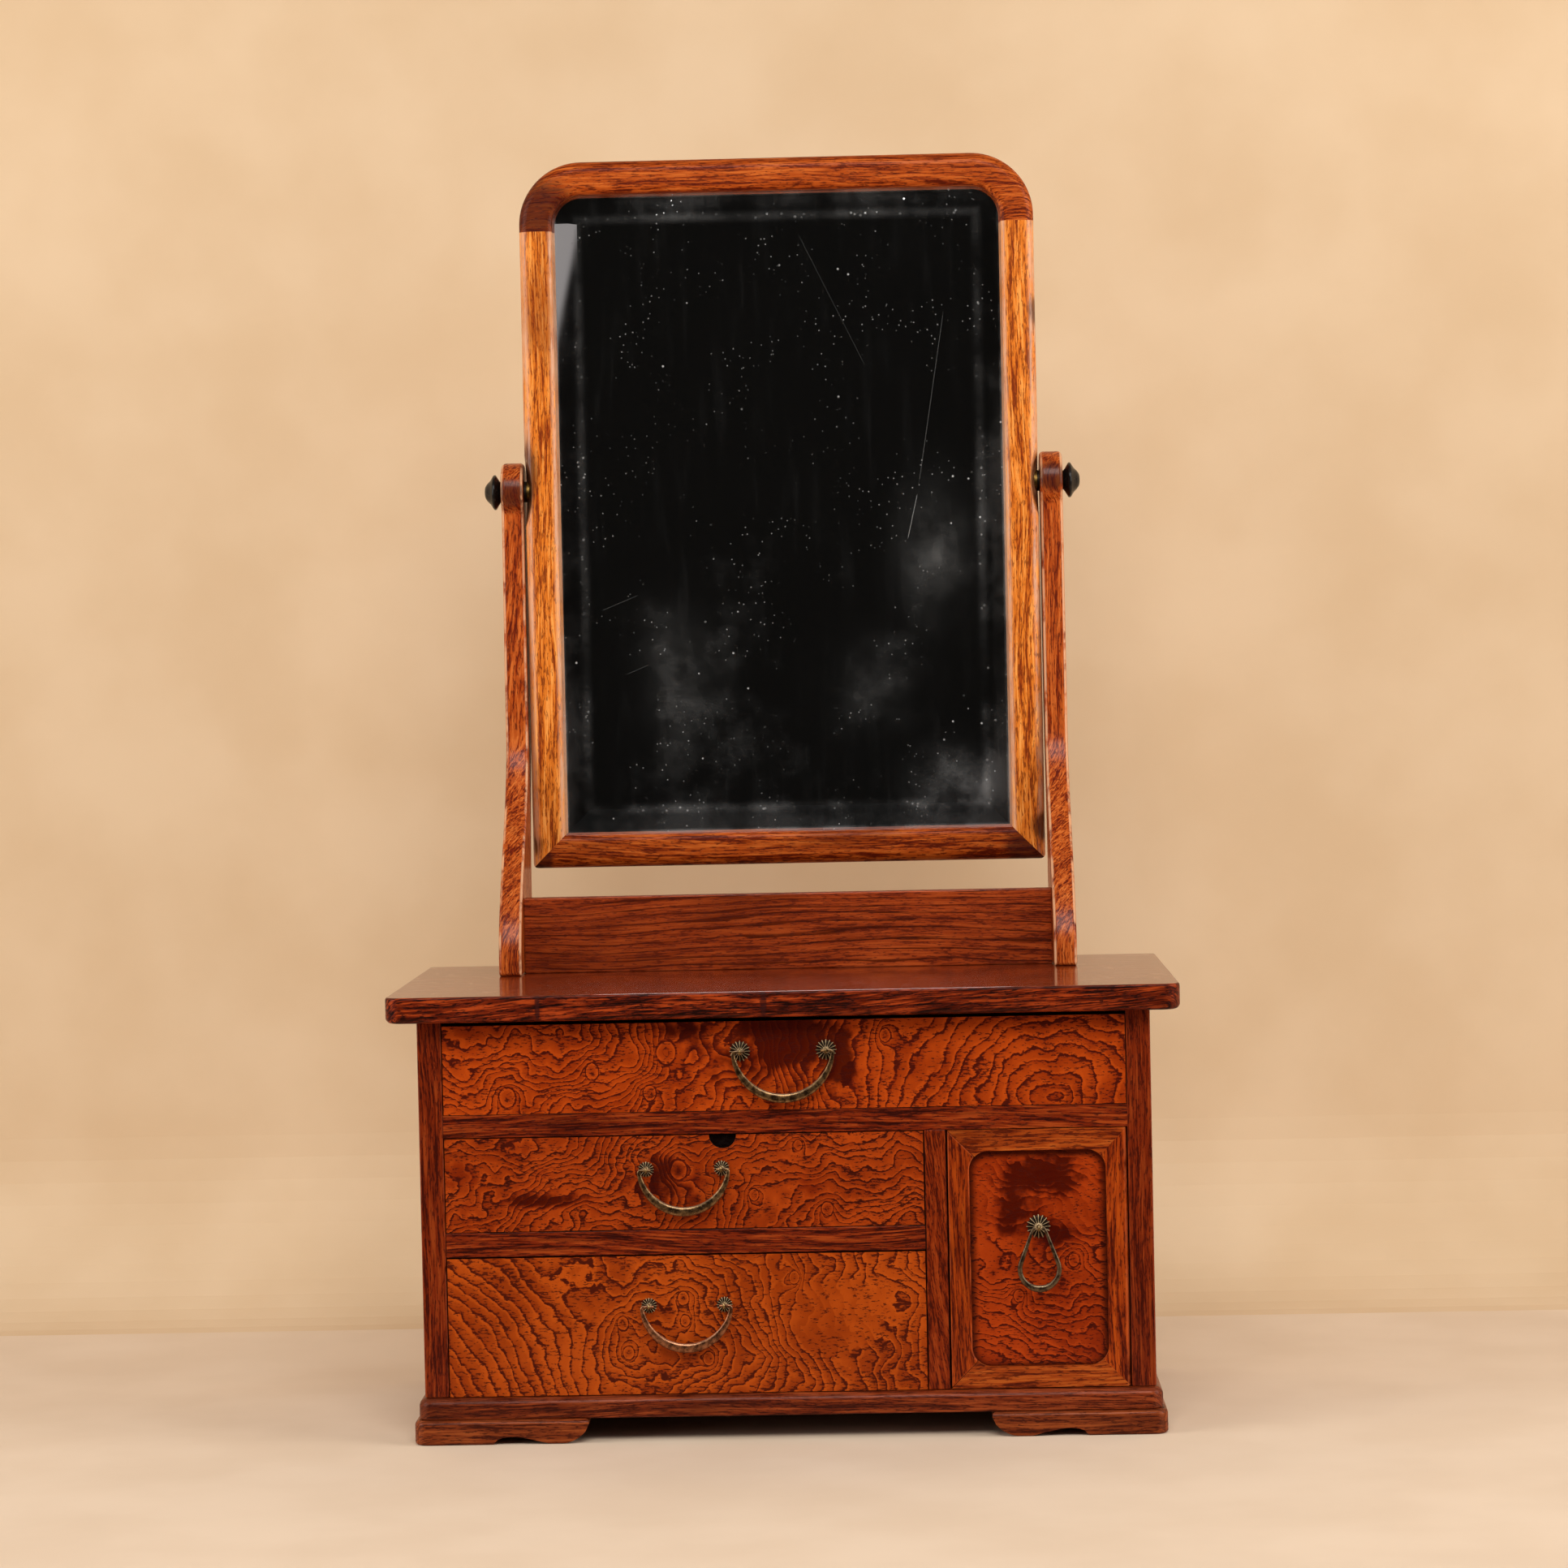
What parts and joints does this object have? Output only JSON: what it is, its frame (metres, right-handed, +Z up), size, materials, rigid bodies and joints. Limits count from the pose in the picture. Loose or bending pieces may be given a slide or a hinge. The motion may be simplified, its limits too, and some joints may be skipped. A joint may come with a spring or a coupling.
{
  "type": "vanity mirror",
  "caption": "Swing mirror in a wooden frame between two swept-back posts, standing on a low cabinet with drawers that have bail handles and a small panelled door with a ring handle.",
  "frame": {"origin": "centre of the bounding box in plan, at the undersides of the feet", "axes": "+X to the right as seen from the front, +Y to the back, +Z up; drawers and door open towards -Y"},
  "size_m": [0.455, 0.267, 0.7601],
  "materials": {
    "case_wood": "dark red-brown lacquered hardwood, glossy",
    "inner_wood": "plain pale softwood, unfinished",
    "frame_wood": "orange-brown open-grained wood, glossy lacquer",
    "figured_wood": "finely figured orange and dark brown wood, glossy lacquer",
    "door_wood": "straight-grained orange-brown wood, glossy lacquer",
    "black_knob": "glossy black",
    "steel": "dull, darkened",
    "brass": "worn, tarnished",
    "bronze": "mottled olive-brown patina, bright on the edges",
    "dark_metal": "dark brown patina",
    "mirror_glass": "silvered glass with a bevelled edge"
  },
  "bodies": {
    "stand": {"top_board": "case_wood", "side_board_left": "case_wood", "side_board_right": "case_wood", "base_board": "case_wood", "back_board": "inner_wood", "rail_upper": "case_wood", "rail_lower": "case_wood", "shelf_upper": "inner_wood", "shelf_lower": "inner_wood", "partition": "case_wood", "front_feet": "case_wood", "side_feet": "case_wood", "post_left": "frame_wood", "post_right": "frame_wood", "cross_board": "case_wood", "pivot_washers": "steel", "door_hinge_pins": "brass"},
    "knob_left": {"knob_left": "black_knob", "pivot_screw_left": "steel"},
    "knob_right": {"knob_right": "black_knob", "pivot_screw_right": "steel"},
    "mirror": {"frame_top_rail": "frame_wood", "frame_corner_left": "frame_wood", "frame_corner_right": "frame_wood", "frame_stile_left": "frame_wood", "frame_stile_right": "frame_wood", "frame_bottom_rail": "frame_wood", "mirror_glass": "mirror_glass", "mirror_back_panel": "inner_wood", "back_panel_sprigs": "steel", "pivot_nuts": "brass"},
    "drawer_top": {"drawer_top_front": "figured_wood", "drawer_top_sides": "inner_wood", "drawer_top_back": "inner_wood", "drawer_top_bottom": "inner_wood", "drawer_top_rosettes": "dark_metal", "drawer_top_eyes": "brass"},
    "bail_top": {"drawer_top_bail": "bronze"},
    "drawer_middle": {"drawer_middle_front": "figured_wood", "drawer_middle_sides": "inner_wood", "drawer_middle_back": "inner_wood", "drawer_middle_bottom": "inner_wood", "drawer_middle_rosettes": "dark_metal", "drawer_middle_eyes": "brass"},
    "bail_middle": {"drawer_middle_bail": "bronze"},
    "drawer_bottom": {"drawer_bottom_front": "figured_wood", "drawer_bottom_sides": "inner_wood", "drawer_bottom_back": "inner_wood", "drawer_bottom_bottom": "inner_wood", "drawer_bottom_rosettes": "dark_metal", "drawer_bottom_eyes": "brass"},
    "bail_bottom": {"drawer_bottom_bail": "bronze"},
    "door": {"door_stile_left": "door_wood", "door_stile_right": "door_wood", "door_rail_top": "door_wood", "door_rail_bottom": "door_wood", "door_panel": "figured_wood", "door_rosette": "dark_metal", "door_eye": "brass"},
    "door_ring": {"door_ring": "bronze"}
  },
  "joints": [
    {"name": "mirror_tilt", "type": "hinge", "parent": "stand", "child": "mirror", "pos_m": [0, 0.1155, 0.5561], "axis": [1, 0, 0], "continuous": true},
    {"name": "knob_left_turn", "type": "hinge", "parent": "stand", "child": "knob_left", "pos_m": [-0.182, 0.1155, 0.5561], "axis": [1, 0, 0], "continuous": true},
    {"name": "knob_right_turn", "type": "hinge", "parent": "stand", "child": "knob_right", "pos_m": [0.182, 0.1155, 0.5561], "axis": [1, 0, 0], "continuous": true},
    {"name": "drawer_top_slide", "type": "slide", "parent": "stand", "child": "drawer_top", "axis": [0, -1, 0], "range_m": [0, 0.17]},
    {"name": "bail_top_swing", "type": "hinge", "parent": "drawer_top", "child": "bail_top", "pos_m": [0, -0.124, 0.22385], "axis": [-1, 0, 0], "range_deg": [-6, 152]},
    {"name": "drawer_middle_slide", "type": "slide", "parent": "stand", "child": "drawer_middle", "axis": [0, -1, 0], "range_m": [0, 0.17]},
    {"name": "bail_middle_swing", "type": "hinge", "parent": "drawer_middle", "child": "bail_middle", "pos_m": [-0.05835, -0.124, 0.1567], "axis": [-1, 0, 0], "range_deg": [-6, 186]},
    {"name": "drawer_bottom_slide", "type": "slide", "parent": "stand", "child": "drawer_bottom", "axis": [0, -1, 0], "range_m": [0, 0.17]},
    {"name": "bail_bottom_swing", "type": "hinge", "parent": "drawer_bottom", "child": "bail_bottom", "pos_m": [-0.05835, -0.124, 0.07805], "axis": [-1, 0, 0], "range_deg": [-6, 186]},
    {"name": "door_swing", "type": "hinge", "parent": "stand", "child": "door", "pos_m": [0.189, -0.1145, 0.10165], "axis": [0, 0, 1], "range_deg": [0, 110]},
    {"name": "door_ring_swing", "type": "hinge", "parent": "door", "child": "door_ring", "pos_m": [0.14455, -0.124, 0.11965], "axis": [-1, 0, 0], "range_deg": [-5, 185]}
  ]
}
